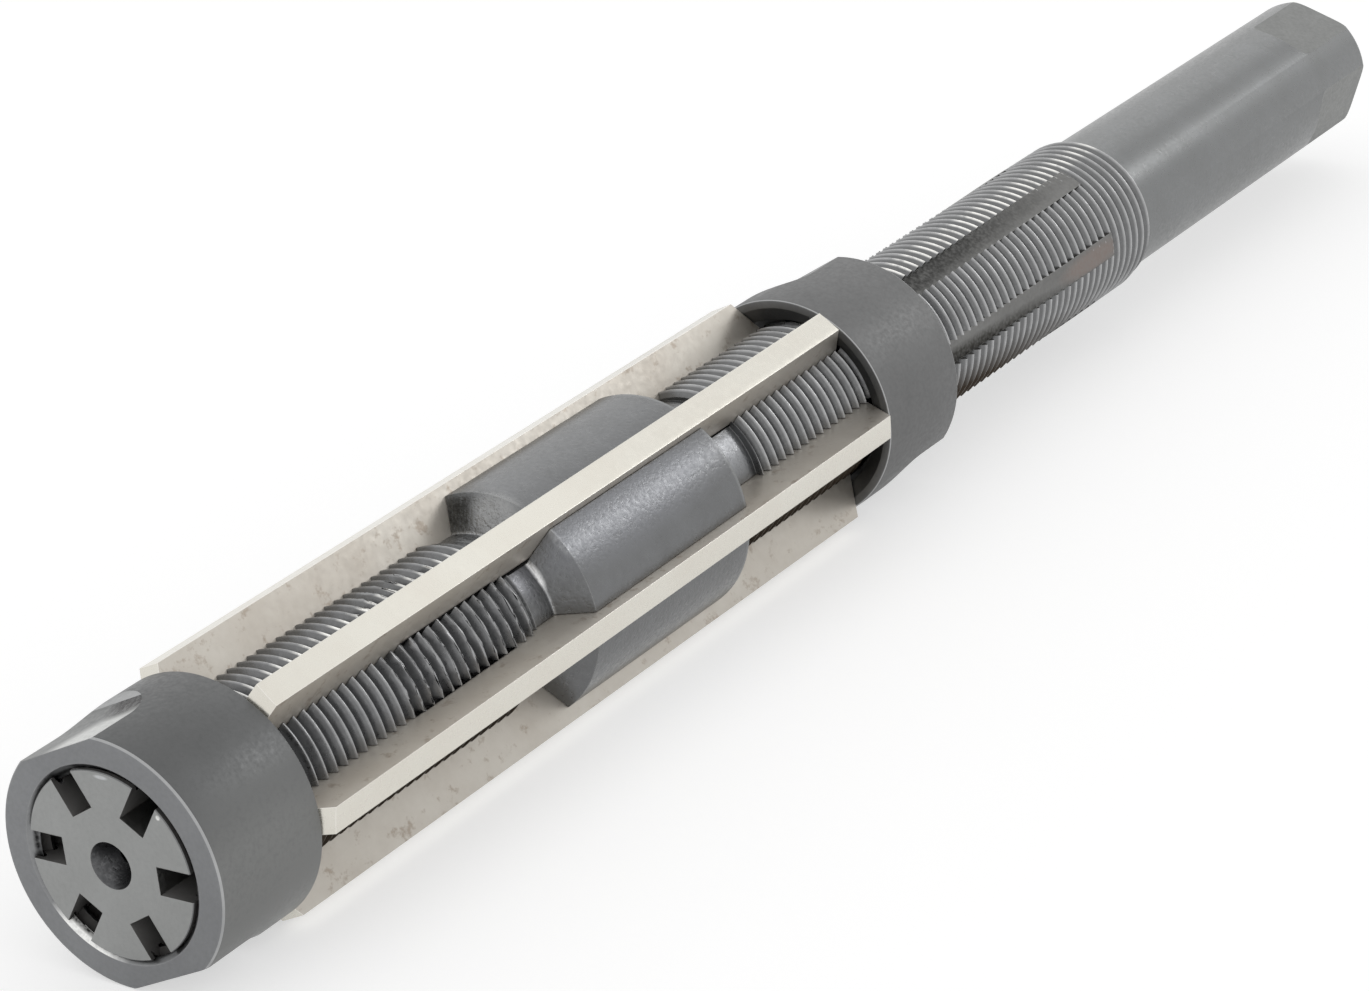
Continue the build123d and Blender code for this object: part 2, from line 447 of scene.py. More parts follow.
def thread_steel_material(name, dark, light, worn_depth, rubbed, dark_brown_places=()):
    """Dark up to worn_depth under the crests and light on them, near white where rubbed, dark brown in
    places.

    The rubbed place, partly bare metal and partly a painted highlight, is a centre and its radii, and so is
    each dark brown place.
    """
    material = new_steel(name, light, 0.32)
    place = add_node(material, "ShaderNodeTexCoord")
    flat = add_node(material, "ShaderNodeVectorMath", {1: (0.0, 1.0, 1.0)}, operation="MULTIPLY")
    distance = add_node(material, "ShaderNodeVectorMath", operation="LENGTH")
    link(material, place.outputs["Object"], flat.inputs[0])
    link(material, flat.outputs["Vector"], distance.inputs[0])
    worn = (THREAD_RADIUS - worn_depth, THREAD_RADIUS - CREST_TOP)
    height = map_range(material, distance.outputs["Value"], worn, (0.0, 1.0))
    grain = noise(material, EVEN, 2400.0, 3.0)
    spread = noise(material, EVEN, 520.0, 4.0, 0.7)
    crest = multiply(material, height, map_range(material, spread, (0.3, 0.6), (0.6, 1.0)))
    colour = mix_colours(material, crest, dark, light)
    top = map_range(material, distance.outputs["Value"], BARE_AND_HIGHLIGHT_HEIGHT, (0.0, 1.0))
    bare_and_highlight_place = multiply(material, patch(material, *rubbed), top)
    bare_and_highlight_mask = multiply(material, bare_and_highlight_place, map_range(material, spread, (0.35, 0.5), (0.3, 1.0)))
    colour = mix_colours(material, bare_and_highlight_mask, colour, BARE_AND_HIGHLIGHT)
    for centre, radii in dark_brown_places:
        colour = mix_colours(material, patch(material, centre, radii), colour, DARK_BROWN)
    set_input(material, "Base Color", colour)
    set_input(material, "Roughness", map_range(material, grain, (0.3, 0.7), (0.24, 0.40)))
    add_bump(material, [(grain, 10 * MICRON)], 0.04 * MM)
    return material


front_thread_steel = thread_steel_material(
    "front_thread_steel", (0.185, 0.187, 0.190), (0.340, 0.342, 0.346), 0.16 * MM,
    # The crests along this line are painted near white: partly rubbed bare, partly a painted highlight
    rubbed=(around(30.0, 8.0, 104), (22.0, 1.9, 1.1)),
    # Where the thread is painted dark brown
    dark_brown_places=[(around(26.0, 8.0, 214), (44.0, 4.6, 4.6))],
)
rear_thread_steel = thread_steel_material(
    "rear_thread_steel", (0.180, 0.182, 0.184), (0.450, 0.452, 0.456), 0.22 * MM,
    # The crests along this line are painted near white: partly rubbed bare, partly a painted highlight
    rubbed=(around(124.0, 8.0, 101), (44.0, 1.9, 0.9)),
    # Where the thread is painted dark brown
    dark_brown_places=[(around(86.0, 8.0, 214), (14.0, 4.6, 4.6)), (around(104.0, 8.0, 226), (40.0, 5.0, 5.0))],
)
print("thread steels ready")

# %% [markdown]
# ### Blade steel
# The blades are bare tool steel with a warm tone. Their lands are ground bright, with fine lines along the
# blade. Their sides are duller, with brown specks from heat treatment. The tiny edges beside a land shine
# most.

# %% Blade steel
ALONG = (0.02, 1.0, 1.0)


def blade_steel(name, colour, speck_colour, speck_from, roughness, line_depth):
    """Bare tool steel, with specks where a noise is above speck_from, and lines along the blade."""
    material = new_steel(name, colour, roughness)
    lines = noise(material, ALONG, 3600.0, 2.0)
    clouds = noise(material, EVEN, 140.0, 6.0, 0.65)
    grain = noise(material, EVEN, 1500.0, 3.0)
    specks = noise(material, EVEN, 640.0, 5.0, 0.7)
    patches = map_range(material, clouds, (0.35, 0.7), (0.0, 0.35))
    cloudy = mix_colours(material, patches, colour, speck_colour)
    marks = map_range(material, specks, (speck_from, speck_from + 0.1), (0.0, 0.8))
    set_input(material, "Base Color", mix_colours(material, marks, cloudy, speck_colour))
    dullness = map_range(material, grain, (0.3, 0.7), (roughness - 0.06, roughness + 0.06))
    set_input(material, "Roughness", dullness)
    add_bump(material, [(lines, line_depth), (grain, 3 * MICRON)], 0.05 * MM)
    return material


land_steel = blade_steel("land_steel", (0.72, 0.70, 0.635), (0.64, 0.59, 0.52), 0.72, 0.25, 3 * MICRON)
side_steel = blade_steel("side_steel", (0.57, 0.54, 0.488), (0.36, 0.305, 0.25), 0.565, 0.42, 2 * MICRON)
set_plain(side_steel, "Metallic", 0.65)
edge_steel = blade_steel("edge_steel", (0.88, 0.86, 0.82), (0.75, 0.71, 0.66), 0.80, 0.25, MICRON)
print("blade steels ready")

# %% [markdown]
# ## Drawing and turning
# A turned piece is drawn as half of its section and spun about the axis. The section is drawn by extruding
# one vertex from point to point, as a pen would move. Spinning leaves two rows of vertices at the seam and
# at the axis, so they are merged, and the faces are then made to point outwards.

# %% Selecting and drawing helpers
def only(piece):
    """Leaves one object selected and active, in object mode."""
    if bpy.context.object and bpy.context.object.mode != "OBJECT":
        bpy.ops.object.mode_set(mode="OBJECT")
    bpy.ops.object.select_all(action="DESELECT")
    piece.select_set(True)
    bpy.context.view_layer.objects.active = piece


def clear_selection():
    """Leaves nothing selected, in object mode."""
    if bpy.context.object and bpy.context.object.mode != "OBJECT":
        bpy.ops.object.mode_set(mode="OBJECT")
    bpy.ops.object.select_all(action="DESELECT")


def draw(name, points):
    """Draws a line through (x, radius) points by extruding a vertex."""
    clear_selection()
    bpy.ops.mesh.primitive_plane_add(size=MM, location=(points[0][0], points[0][1], 0))
    piece = bpy.context.object
    piece.name = name
    bpy.ops.object.transform_apply(location=True, rotation=True, scale=True)
    bpy.ops.object.mode_set(mode="EDIT")
    bpy.ops.mesh.select_all(action="SELECT")
    bpy.ops.mesh.merge(type="CENTER")
    for before, after in zip(points, points[1:]):
        step = (after[0] - before[0], after[1] - before[1], 0)
        bpy.ops.mesh.extrude_vertices_move(TRANSFORM_OT_translate={"value": step})
    bpy.ops.object.mode_set(mode="OBJECT")
    return piece


# %% Turning helpers
MERGE_DISTANCE = 2 * MICRON


def close_mesh(piece):
    """Merges doubled vertices and turns every face outwards."""
    only(piece)
    bpy.ops.object.mode_set(mode="EDIT")
    bpy.ops.mesh.select_all(action="SELECT")
    bpy.ops.mesh.remove_doubles(threshold=MERGE_DISTANCE)
    bpy.ops.mesh.normals_make_consistent(inside=False)
    bpy.ops.object.mode_set(mode="OBJECT")


def turn(name, points, material, steps=128):
    """A turned solid from half of its section, which starts and ends on the axis or closes on itself."""
    piece = draw(name, points)
    bpy.ops.object.mode_set(mode="EDIT")
    bpy.ops.mesh.select_all(action="SELECT")
    bpy.ops.mesh.spin(steps=steps, angle=FULL_TURN, center=AXIS_POINT, axis=AXIS)
    close_mesh(piece)
    piece.data.materials.append(material)
    return piece


def arc(centre, radius, start, end, steps=5):
    """Points of an arc in the drawing plane, from one angle to another, in degrees from the axis."""
    angles = [math.radians(start + (end - start) * step / steps) for step in range(steps + 1)]
    return [(centre[0] + radius * math.cos(a), centre[1] + radius * math.sin(a)) for a in angles]


# %% [markdown]
# ### Choosing and cutting
# Faces and vertices are picked by a test of their place, as one would pick them by hand with the mouse.
# Cuts are booleans with solid tools. The solver is the one for closed solids, so each tool is closed too,
# and the cut faces take the tool's material, as a milled face looks unlike a turned one.

# %% Choosing and cutting helpers
def paint(piece, material, test):
    """Gives a material to the faces whose middle and normal pass the test."""
    materials = piece.data.materials
    if material.name not in materials:
        materials.append(material)
    chosen = [face for face in piece.data.polygons if test(face.center, face.normal)]
    for face in chosen:
        face.material_index = materials.find(material.name)
    print(f"{piece.name}: {len(chosen)} faces in {material.name}")


def choose_vertices(piece, test):
    """Goes to edit mode with just the vertices that pass the test selected."""
    only(piece)
    bpy.ops.object.mode_set(mode="EDIT")
    bpy.ops.mesh.select_mode(type="VERT")
    bpy.ops.mesh.select_all(action="DESELECT")
    bpy.ops.object.mode_set(mode="OBJECT")
    for vertex in piece.data.vertices:
        vertex.select = test(vertex.co)
    bpy.ops.object.mode_set(mode="EDIT")


def combine(piece, tool, operation):
    """Applies a boolean of piece with tool, deletes the tool and keeps the tool's material on its faces."""
    modifier = piece.modifiers.new(operation.lower(), "BOOLEAN")
    modifier.operation = operation
    modifier.solver = "MANIFOLD"
    modifier.material_mode = "TRANSFER"
    modifier.object = tool
    only(piece)
    bpy.ops.object.modifier_apply(modifier=modifier.name)
    bpy.data.objects.remove(tool)
    print(f"{piece.name} after {operation.lower()}: {len(piece.data.polygons)} faces")


# %% [markdown]
# ## The thread
# One groove's section, one pitch long, is swept round the axis by the Screw modifier, which moves it one
# pitch for each turn. Neighbouring turns meet, so the sweep is one skin. It is made some turns too long,
# and two bisections trim its ends square and close them. An array of rings would be quicker to make, but a
# nut could not travel on rings, and close up the eye sees at once that they do not climb.

# %% Threaded rod
THREAD_STEPS = 72
THREAD_SOFTENING = 0.04 * MM
TURNS_BEFORE = 2
TURNS_AFTER = 1
TRIM_THRESHOLD = 0.01 * MICRON


def threaded_rod(name, start, end, crest_radius, material, shift=0.0):
    """A right-hand threaded rod. On its +Y side the crests are at whole pitches plus shift."""
    root_radius = crest_radius - THREAD_DEPTH
    crest, root = THREAD_CREST / 2, THREAD_ROOT / 2
    soft = THREAD_SOFTENING
    # A crest is nearly flat over 0.6 of its width, and falls off beside it
    top = 0.6 * crest
    turns = math.ceil((end - start) / THREAD_PITCH) + TURNS_BEFORE + TURNS_AFTER
    first = (math.floor(start / THREAD_PITCH) - TURNS_BEFORE) * THREAD_PITCH + shift
    middle = THREAD_PITCH / 2
    section = [
        (0.0, crest_radius),
        (top, crest_radius - soft / 5),
        (crest, crest_radius - soft),
        (middle - root, root_radius),
        (middle + root, root_radius),
        (THREAD_PITCH - crest, crest_radius - soft),
        (THREAD_PITCH - top, crest_radius - soft / 5),
        (THREAD_PITCH, crest_radius),
    ]
    rod = draw(name, [(first + x, radius) for x, radius in section])
    screw = rod.modifiers.new("thread", "SCREW")
    screw.axis = "X"
    screw.angle = FULL_TURN
    screw.screw_offset = THREAD_PITCH
    screw.iterations = turns
    screw.steps = screw.render_steps = THREAD_STEPS
    bpy.ops.object.modifier_apply(modifier=screw.name)
    close_mesh(rod)
    for place, outwards in ((start, -1.0), (end, 1.0)):
        bpy.ops.object.mode_set(mode="EDIT")
        bpy.ops.mesh.select_all(action="SELECT")
        bpy.ops.mesh.bisect(
            plane_co=(place, 0, 0), plane_no=(outwards, 0, 0), threshold=TRIM_THRESHOLD,
            use_fill=True, clear_outer=True,
        )
        bpy.ops.object.mode_set(mode="OBJECT")
    close_mesh(rod)
    rod.data.materials.append(material)
    return rod


# %% [markdown]
# ## The body
# The blank is turned first, as on a lathe: tip, neck, cone, bulge, neck and shank. Its threaded stretches
# are left thin, and the two threaded rods are added over them. Then come the cuts, in the order of the
# workshop: the slots, the square and the centre holes. Where the thread ends, the cutter has left two low
# rings.

# %% Turn the blank
CORE_RADIUS = THREAD_RADIUS - THREAD_DEPTH - 0.2 * MM
STEP_OVERLAP = 0.3 * MM
BULGE_EDGE = 0.15 * MM
RING_PLACES = (FRONT_THREAD_END + 0.45 * MM, FRONT_THREAD_END + 1.05 * MM)
RING_HALF = 0.2 * MM
RING_HEIGHT = 0.3 * MM
COLLAR_RADIUS = 7.97 * MM
COLLAR_CHAMFER = 0.08 * MM
COLLAR_LENGTH = 0.4 * MM

run_out_rings = []
for ring_place in RING_PLACES:
    run_out_rings += [
        (ring_place - RING_HALF, NECK_RADIUS),
        (ring_place, NECK_RADIUS + RING_HEIGHT),
        (ring_place + RING_HALF, NECK_RADIUS),
    ]
blank_points = [
    (0.0, 0.0),
    (0.0, COLLAR_RADIUS - COLLAR_CHAMFER),
    (COLLAR_CHAMFER, COLLAR_RADIUS),
    (COLLAR_LENGTH, COLLAR_RADIUS),
    (COLLAR_LENGTH, CORE_RADIUS),
    (FRONT_THREAD_END - STEP_OVERLAP, CORE_RADIUS),
    (FRONT_THREAD_END - STEP_OVERLAP, NECK_RADIUS),
    *run_out_rings,
    (CONE_START, NECK_RADIUS),
    (BULGE_START, BULGE_RADIUS),
    (BULGE_END - BULGE_EDGE, BULGE_RADIUS),
    (BULGE_END, BULGE_RADIUS - BULGE_EDGE),
    (BULGE_END, NECK_RADIUS),
    (REAR_THREAD_START + STEP_OVERLAP, NECK_RADIUS),
    (REAR_THREAD_START + STEP_OVERLAP, CORE_RADIUS),
    (REAR_THREAD_END - STEP_OVERLAP, CORE_RADIUS),
    (REAR_THREAD_END - STEP_OVERLAP, SHANK_RADIUS),
    *arc((BODY_LENGTH - SHANK_ROUNDING, SHANK_RADIUS - SHANK_ROUNDING), SHANK_ROUNDING, 90, 0),
    (BODY_LENGTH, 0.0),
]
body = turn("reamer_body", blank_points, turned_steel)
print("blank:", len(body.data.polygons), "faces")

# %% [markdown]
# ### Threads and knocked crests
# The threaded rods join the blank by a boolean union, so that the body is one closed skin. On the real
# tool, knocks have flattened some crests in front of the cone. A bump could dent their shading, but not
# their outline, so the vertices of those crests are moved a little at random before the rod is joined on.

# %% Add the threads
NEAR = 0.1 * MM
DING_PLACE = Vector(around(36.0, 8.0, 150))
DING_REACH = 9.0 * MM
DING_DEPTH = 0.14 * MM


def is_dinged_crest(place):
    """Whether a vertex of the thread is on a crest in the place that took knocks."""
    return (place - DING_PLACE).length < DING_REACH and place.yz.length > THREAD_RADIUS - NEAR


for name, start, end, material in (
    ("front_thread", COLLAR_LENGTH / 2, FRONT_THREAD_END, front_thread_steel),
    ("rear_thread", REAR_THREAD_START, REAR_THREAD_END, rear_thread_steel),
):
    rod = threaded_rod(name, start, end, THREAD_RADIUS, material)
    if name == "front_thread":
        choose_vertices(rod, is_dinged_crest)
        bpy.ops.transform.vertex_random(offset=DING_DEPTH, seed=4)
        bpy.ops.object.mode_set(mode="OBJECT")
    combine(body, rod, "UNION")

# %% Give the faced tip, its collar and the shank their own steel
# A face counts as square to an axis when its normal is at least this much along it
SQUARE_ON = 0.9
TIP_DEPTH = 0.01 * MM

paint(body, faced_steel, lambda place, normal: place.x < TIP_DEPTH and normal.x < -SQUARE_ON)
# Painted shade: the collar's side takes the dark slot-wall material, for the gap between the tip and the
# nut
paint(body, slot_wall_steel, lambda place, normal: (
    COLLAR_CHAMFER < place.x < 2 * COLLAR_LENGTH and normal.x > -SQUARE_ON
))
paint(body, shank_steel, lambda place, normal: place.x > REAR_THREAD_END)

# %% [markdown]
# ### Slots
# A slot is what a thin cutter leaves when it runs along a bar that is tilted a little. Its twin here is a
# cube with a tilted floor, turned a third of a degree askew. It is modelled once, and the other five are
# turned copies in the same mesh. Their steps round the axis are uneven, which keeps a reamer from
# chattering. Near the shank the floors climb above the roots of the thread, and there they are smooth, with
# no grooves across them. So before the cut, six bars as high as the floors fill the grooves there, trimmed
# to the crests.

# %% Bars in the slots
OVERRUN = 1.0 * MM


def box_tool(name, low, high, material):
    """A cube between two corners, with its place in its mesh."""
    clear_selection()
    middle = [(a + b) / 2 for a, b in zip(low, high)]
    bpy.ops.mesh.primitive_cube_add(size=1.0, location=middle, scale=[b - a for a, b in zip(low, high)])
    tool = bpy.context.object
    tool.name = name
    bpy.ops.object.transform_apply(location=True, rotation=True, scale=True)
    tool.data.materials.append(material)
    return tool


def turned_copies(piece, first_turn, steps=()):
    """Turns a mesh by first_turn about the axis, and adds one more copy after each of the steps."""
    only(piece)
    bpy.ops.object.mode_set(mode="EDIT")
    bpy.ops.mesh.select_all(action="SELECT")
    bpy.ops.transform.rotate(value=-first_turn, orient_axis="X", center_override=AXIS_POINT)
    for step in steps:
        bpy.ops.mesh.duplicate()
        bpy.ops.transform.rotate(value=-step, orient_axis="X", center_override=AXIS_POINT)
    bpy.ops.object.mode_set(mode="OBJECT")
    return piece


def skew(piece):
    """Turns a bar askew, as the slots lie, about the middle of the lands."""
    only(piece)
    bpy.ops.object.mode_set(mode="EDIT")
    bpy.ops.mesh.select_all(action="SELECT")
    bpy.ops.transform.rotate(value=-SLOT_SKEW, orient_axis="Y", center_override=LAND_MIDDLE)
    bpy.ops.object.mode_set(mode="OBJECT")
    return piece


def slot_floor(x):
    """Distance of the slot floors from the axis at the station x."""
    return SLOT_FLOOR_AT_TIP + x * SLOT_RISE


def slot_bars(name, start, end, bottom, top, rise_at, margin):
    """Six bars in the slots, from start to end. The vertices near rise_at climb with the slot floors."""
    half = BLADE_THICKNESS / 2 + SLOT_CLEARANCE + margin
    bars = box_tool(name, (start, bottom, -half), (end, top, half), milled_steel)
    # The slot walls take the dark slot-wall material: oil and dirt, and painted shade in the narrow slots
    paint(bars, slot_wall_steel, lambda place, normal: abs(normal.z) > SQUARE_ON)
    choose_vertices(bars, lambda place: place.x > (start + end) / 2 and abs(place.y - rise_at) < NEAR)
    bpy.ops.transform.translate(value=(0, slot_floor(end) - slot_floor(start), 0))
    return turned_copies(skew(bars), FIRST_BLADE, BLADE_STEPS)


# %% Mill the slots
FILL_START = 101 * MM
FILL_BOTTOM = 6.0 * MM
FILL_MARGIN = 5 * MICRON

fill_end = (THREAD_RADIUS - SLOT_FLOOR_AT_TIP) / SLOT_RISE
fill_top = slot_floor(FILL_START) + FILL_MARGIN
fill = slot_bars("floor_fill", FILL_START, fill_end, FILL_BOTTOM, fill_top, fill_top, FILL_MARGIN)
crest_limit = [
    (FILL_START - OVERRUN, 0.0),
    (FILL_START - OVERRUN, THREAD_RADIUS - FILL_MARGIN),
    (fill_end + OVERRUN, THREAD_RADIUS - FILL_MARGIN),
    (fill_end + OVERRUN, 0.0),
]
combine(fill, turn("crest_limit", crest_limit, milled_steel), "INTERSECT")
combine(body, fill, "UNION")

slot_top = BULGE_RADIUS + OVERRUN
slot_far = (slot_top - NEAR - SLOT_FLOOR_AT_TIP) / SLOT_RISE
slot_low = slot_floor(-OVERRUN)
combine(body, slot_bars("slot_cutter", -OVERRUN, slot_far, slot_low, slot_top, slot_low, 0.0), "DIFFERENCE")

# %% [markdown]
# ### Flats and centre holes
# The flats of the square, and those of the nuts, are milled from the side. The cutter's round edge leaves a
# curved run-out, so its twin is a cube with one bevelled edge, in as many segments as a smooth curve needs.
# The centre holes are where the body was held between two points, for turning and for grinding.

# %% A side mill for flats
RUN_OUT_SEGMENTS = 24


def side_mill(name, mouth, facing, length, height, run_out, reach, material, turn_by):
    """What a side mill removes: it enters at mouth, goes length in the direction facing, and rolls out."""
    inner = mouth + facing * (length + run_out)
    outer = mouth - facing * OVERRUN
    low = (min(inner, outer), height, -reach)
    high = (max(inner, outer), height + run_out + reach, reach)
    mill = box_tool(name, low, high, material)
    choose_vertices(mill, lambda place: abs(place.x - inner) < NEAR and abs(place.y - height) < NEAR)
    bpy.ops.mesh.bevel(offset=run_out, offset_type="OFFSET", segments=RUN_OUT_SEGMENTS, affect="EDGES")
    bpy.ops.object.mode_set(mode="OBJECT")
    return turned_copies(mill, turn_by)


# %% Mill the square and drill the centre holes
SQUARE_HALF = 6.45 * MM
SQUARE_LENGTH = 9.5 * MM
SQUARE_RUN_OUT = 2.5 * MM
SQUARE_TURN = math.radians(19.8)
CENTRE_MOUTH = 2.0 * MM
CENTRE_PILOT = 0.8 * MM
CENTRE_DEPTH = 5.5 * MM
CENTRE_HALF_ANGLE = math.radians(30)
CENTRE_CONE = (CENTRE_MOUTH - CENTRE_PILOT) / math.tan(CENTRE_HALF_ANGLE)

for quarter in range(4):
    combine(body, side_mill(
        "square_mill", BODY_LENGTH, -1.0, SQUARE_LENGTH, SQUARE_HALF, SQUARE_RUN_OUT,
        SHANK_RADIUS + OVERRUN, flat_steel, SQUARE_TURN + quarter * FULL_TURN / 4,
    ), "DIFFERENCE")

for mouth, inwards in ((0.0, 1.0), (BODY_LENGTH, -1.0)):
    hole = [
        (mouth - inwards * OVERRUN, 0.0),
        (mouth - inwards * OVERRUN, CENTRE_MOUTH),
        (mouth, CENTRE_MOUTH),
        (mouth + inwards * CENTRE_CONE, CENTRE_PILOT),
        (mouth + inwards * CENTRE_DEPTH, CENTRE_PILOT),
        (mouth + inwards * CENTRE_DEPTH, 0.0),
    ]
    combine(body, turn("centre_drill", hole, turned_steel, steps=48), "DIFFERENCE")

# %% [markdown]
# ### Finishing a piece
# Shading is smooth over the round faces and breaks at the true edges. The rounded rims turn by 18 degrees
# from one flat face to the next, so the limit is a little higher. Each piece is then tied to the body that
# it moves with, and takes the place of its plain solid.

# %% Finish the body
SHARP = math.radians(23)


def finish_piece(piece, body_name, slot_name, *nodes):
    """Smooths a piece up to its sharp edges, and ties it to its moving body and the solids it replaces."""
    only(piece)
    bpy.ops.object.shade_smooth_by_angle(angle=SHARP)
    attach(piece, body_name)
    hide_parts(*nodes)
    print(f"{piece.name}: {len(piece.data.polygons)} faces, {len(piece.data.vertices)} vertices")


finish_piece(body, "body", "body_steel", "body")

# %% [markdown]
# ## The nuts
# Both nuts are the same ring. One side has a conical seat that grips the ends of the blades, with a deeper
# bore behind it. The other side has two flats for a spanner. The inside is threaded: a threaded rod, a
# little larger than the body's, is taken out of it. Its crests are shifted a little from the body's, so
# that the threads are as far out of step at rest as they are, the other way, at the end of the travel.

# %% A ring nut
NUT_LENGTH = FRONT_NUT[1] - FRONT_NUT[0]
NUT_ROUNDING = 0.35 * MM
NUT_EDGE = 0.2 * MM
NUT_BORE = 7.45 * MM
NUT_BORE_MOUTH = 8.41 * MM
NUT_THREAD_RADIUS = 8.18 * MM
TAP_START = 0.05 * MM
TAP_STOP = 0.5 * MM
FACE_DEPTH = 0.2 * MM
# How much of a face's normal lies along the axis, at least on the chamfer, and on the rounded rim
SLOPING = 0.5
RIM_TILT = (0.3, 0.8)


def ring_nut(name, flat_turn, place, facing, shift, material):
    """A nut whose flats are at its place, and whose seat lies NUT_LENGTH further in direction facing."""
    chamfer_depth = NUT_BORE_MOUTH - NUT_BORE
    seat_depth = (SEAT_RIM_RADIUS - COUNTERBORE_RADIUS) * SEAT_SLOPE
    section = [
        (0, NUT_BORE_MOUTH),
        *arc((NUT_ROUNDING, NUT_RADIUS - NUT_ROUNDING), NUT_ROUNDING, 180, 90),
        *arc((NUT_LENGTH - NUT_EDGE, NUT_RADIUS - NUT_EDGE), NUT_EDGE, 90, 0, 3),
        (NUT_LENGTH, SEAT_RIM_RADIUS),
        (NUT_LENGTH - seat_depth, COUNTERBORE_RADIUS),
        (NUT_LENGTH - COUNTERBORE_DEPTH, COUNTERBORE_RADIUS),
        (NUT_LENGTH - COUNTERBORE_DEPTH, NUT_BORE),
        (chamfer_depth, NUT_BORE),
        (0, NUT_BORE_MOUTH),
    ]
    nut = turn(name, [(place + facing * x, radius) for x, radius in section], material, steps=160)
    for side in range(2):
        combine(nut, side_mill(
            "flat_mill", place, facing, NUT_FLAT_LENGTH, NUT_FLATS / 2, NUT_RUN_OUT,
            NUT_RADIUS + OVERRUN, nut_flat_steel, flat_turn + side * FULL_TURN / 2,
        ), "DIFFERENCE")
    low, high = sorted((place + facing * TAP_START, place + facing * (NUT_LENGTH - TAP_STOP)))
    combine(nut, threaded_rod("tap", low, high, NUT_THREAD_RADIUS, slot_wall_steel, shift), "DIFFERENCE")
    paint(nut, nut_face, lambda middle, normal: (
        abs(middle.x - place) < FACE_DEPTH and normal.x * facing < -SLOPING
    ))
    # Painted highlight on the outer half of the rounded rim
    paint(nut, rim_highlight_steel, lambda middle, normal: (
        middle.yz.length > NUT_RADIUS - NUT_ROUNDING
        and RIM_TILT[0] < abs(normal.x) < RIM_TILT[1] and normal.yz.dot(middle.yz) > 0
    ))
    paint(nut, bore_steel, lambda middle, normal: (
        abs(middle.x - place) < chamfer_depth and middle.yz.length < NUT_BORE_MOUTH
        and -SQUARE_ON < normal.x * facing < -SLOPING and normal.yz.dot(middle.yz) < 0
    ))
    return nut


# %% The two nuts
FRONT_NUT_TURN = math.radians(64.8)
REAR_NUT_TURN = math.radians(58.3)
FRONT_NUT_SHIFT = -0.075 * MM
REAR_NUT_SHIFT = 0.079 * MM

front_nut = ring_nut("front_ring_nut", FRONT_NUT_TURN, FRONT_NUT[0], 1.0, FRONT_NUT_SHIFT, nut_steel)
rear_nut = ring_nut("rear_ring_nut", REAR_NUT_TURN, REAR_NUT[1], -1.0, REAR_NUT_SHIFT, rear_nut_lit_steel)
finish_piece(front_nut, "front_nut", "nut_steel", "front_nut")
finish_piece(rear_nut, "rear_nut", "nut_steel", "rear_nut")

# %% [markdown]
# ## The blades
# A blade is a bar whose bottom edge is tilted like the slot. The blades are ground together in their slots,
# so each bar is cut by one turned shape: a cylinder for the lands, with a cone at each end for the seats. A
# second grind tips each land by a few degrees, so that only its leading edge cuts. That is its relief.

# %% Blades
FLOOR_CLEARANCE = 0.02 * MM
BLADE_EDGE = 0.12 * MM
BLADE_EDGE_SEGMENTS = 4
BLADE_EDGE_LIMIT = math.radians(20)
RELIEF_BITE = 0.03 * MM
CUTTING_EDGE = math.sqrt(LAND_RADIUS ** 2 - (BLADE_THICKNESS / 2) ** 2) - RELIEF_BITE


def relief_block():
    """What the second grind removes over the land, tipped about the cutting edge."""
    half = BLADE_THICKNESS / 2
    low = (LAND_START - LAND_RADIUS, CUTTING_EDGE, -half - OVERRUN)
    high = (LAND_END + LAND_RADIUS, CUTTING_EDGE + 2 * OVERRUN, half + OVERRUN)
    block = box_tool("relief_block", low, high, land_steel)
    choose_vertices(block, lambda place: True)
    bpy.ops.transform.rotate(value=-LAND_RELIEF, orient_axis="X", center_override=(0, CUTTING_EDGE, -half))
    bpy.ops.object.mode_set(mode="OBJECT")
    return skew(block)


def make_blade(number):
    """One blade, ground in the slot that faces +Y and then turned to its own slot."""
    front_toe = LAND_START - LAND_RADIUS * SEAT_SLOPE
    rear_toe = LAND_END + LAND_RADIUS * SEAT_SLOPE
    low_corner = (front_toe, slot_floor(front_toe) + FLOOR_CLEARANCE, -BLADE_THICKNESS / 2)
    high_corner = (rear_toe, LAND_RADIUS + OVERRUN, BLADE_THICKNESS / 2)
    bar = box_tool(f"cutting_blade_{number}", low_corner, high_corner, side_steel)
    choose_vertices(bar, lambda place: place.x > LAND_END and place.y < LAND_RADIUS)
    bpy.ops.transform.translate(value=(0, slot_floor(rear_toe) - slot_floor(front_toe), 0))
    bpy.ops.object.mode_set(mode="OBJECT")
    skew(bar)
    ground = [(front_toe, 0.0), (LAND_START, LAND_RADIUS), (LAND_END, LAND_RADIUS), (rear_toe, 0.0)]
    combine(bar, turn("grinder", ground, land_steel, steps=256), "INTERSECT")
    combine(bar, relief_block(), "DIFFERENCE")
    bar.data.materials.append(edge_steel)
    edge = bar.modifiers.new("edge", "BEVEL")
    edge.width = BLADE_EDGE
    edge.segments = BLADE_EDGE_SEGMENTS
    edge.limit_method = "ANGLE"
    edge.angle_limit = BLADE_EDGE_LIMIT
    edge.material = len(bar.data.materials) - 1
    only(bar)
    bpy.ops.object.modifier_apply(modifier=edge.name)
    turned_copies(bar, FIRST_BLADE + sum(BLADE_STEPS[:number - 1]))
    finish_piece(bar, f"blade_{number}", "blade_steel", f"blade_{number}")


for number in range(1, len(BLADE_STEPS) + 2):
    make_blade(number)

